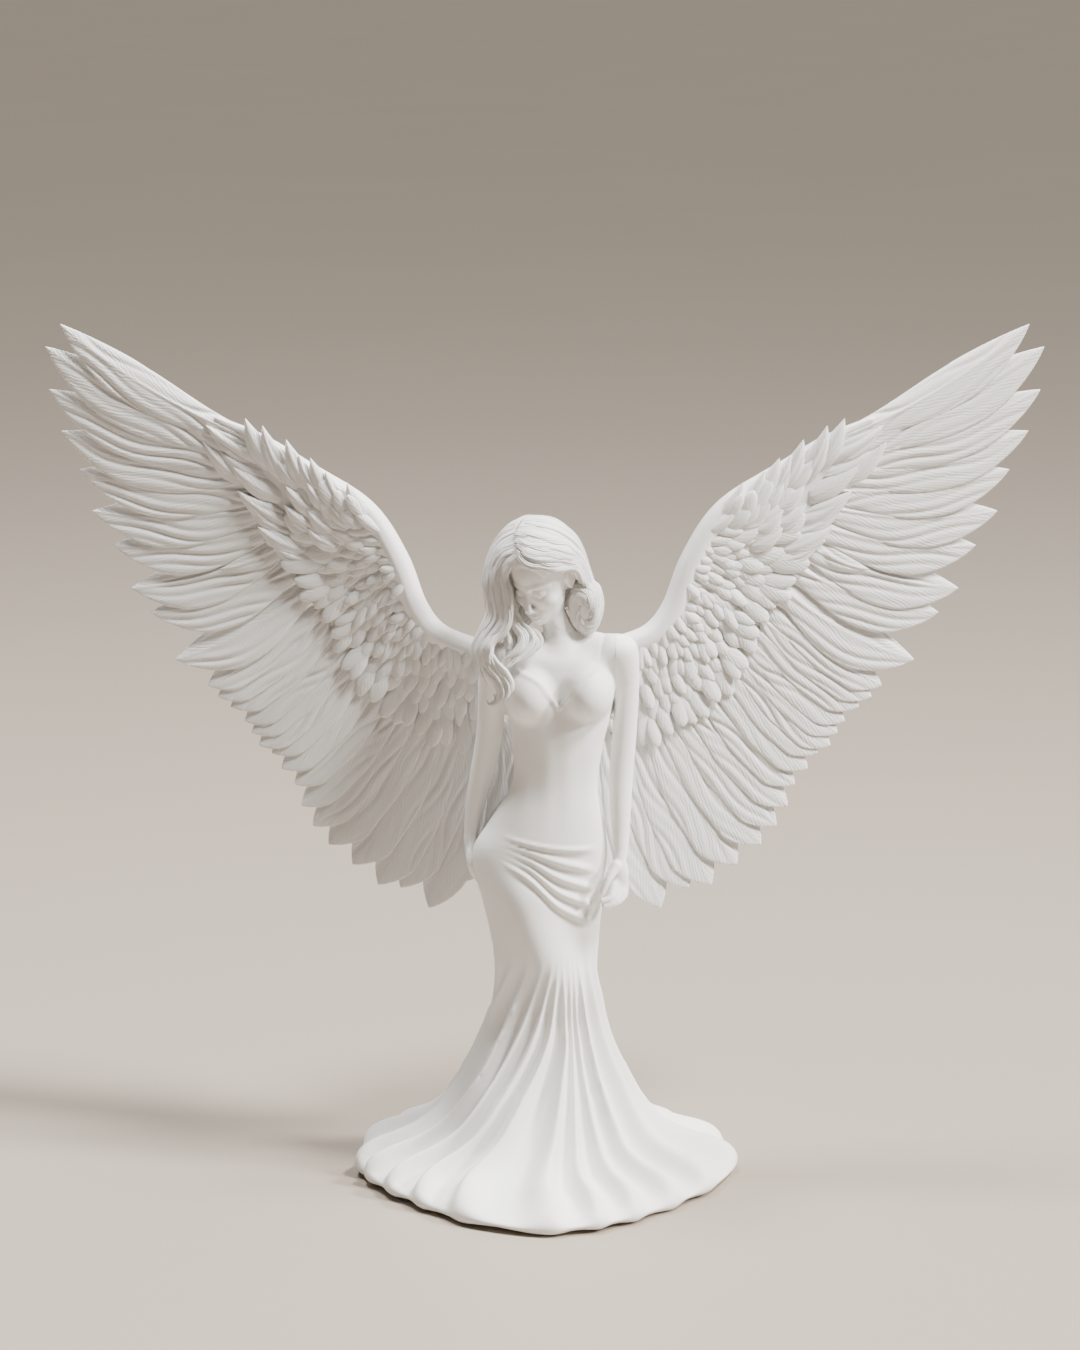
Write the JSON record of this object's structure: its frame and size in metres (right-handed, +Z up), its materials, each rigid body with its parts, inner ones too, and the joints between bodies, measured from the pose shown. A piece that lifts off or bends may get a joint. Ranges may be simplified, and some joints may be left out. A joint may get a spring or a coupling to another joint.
{
  "type": "winged figure statuette",
  "caption": "Cast-stone statuette of a standing winged woman in a long flared gown, head bowed, arms down and feathered wings raised.",
  "frame": {"origin": "on the table, under the middle of the felt that the figure stands on", "axes": "+Z up, -Y the way the figure faces, +X towards the figure's own left hand, along the wing span"},
  "size_m": [0.3496, 0.1248, 0.296],
  "materials": {
    "cast_stone": "matte white cast stone",
    "steel_pin": "plain steel wire",
    "base_felt": "pressed felt"
  },
  "bodies": {
    "root": {"gown_casting": "cast_stone", "head": "cast_stone", "hair_crown": "cast_stone", "hair_right_locks": "cast_stone", "hair_left_curl": "cast_stone", "right_arm": "cast_stone", "left_arm": "cast_stone", "right_wing_spar": "cast_stone", "right_wing_flight_feathers": "cast_stone", "right_wing_front_coverts": "cast_stone", "right_wing_rear_coverts": "cast_stone", "left_wing_spar": "cast_stone", "left_wing_flight_feathers": "cast_stone", "left_wing_front_coverts": "cast_stone", "left_wing_rear_coverts": "cast_stone", "neck_pin": "steel_pin", "right_arm_pin": "steel_pin", "left_arm_pin": "steel_pin", "right_wing_pin": "steel_pin", "left_wing_pin": "steel_pin", "felt_pad": "base_felt"}
  },
  "joints": []
}
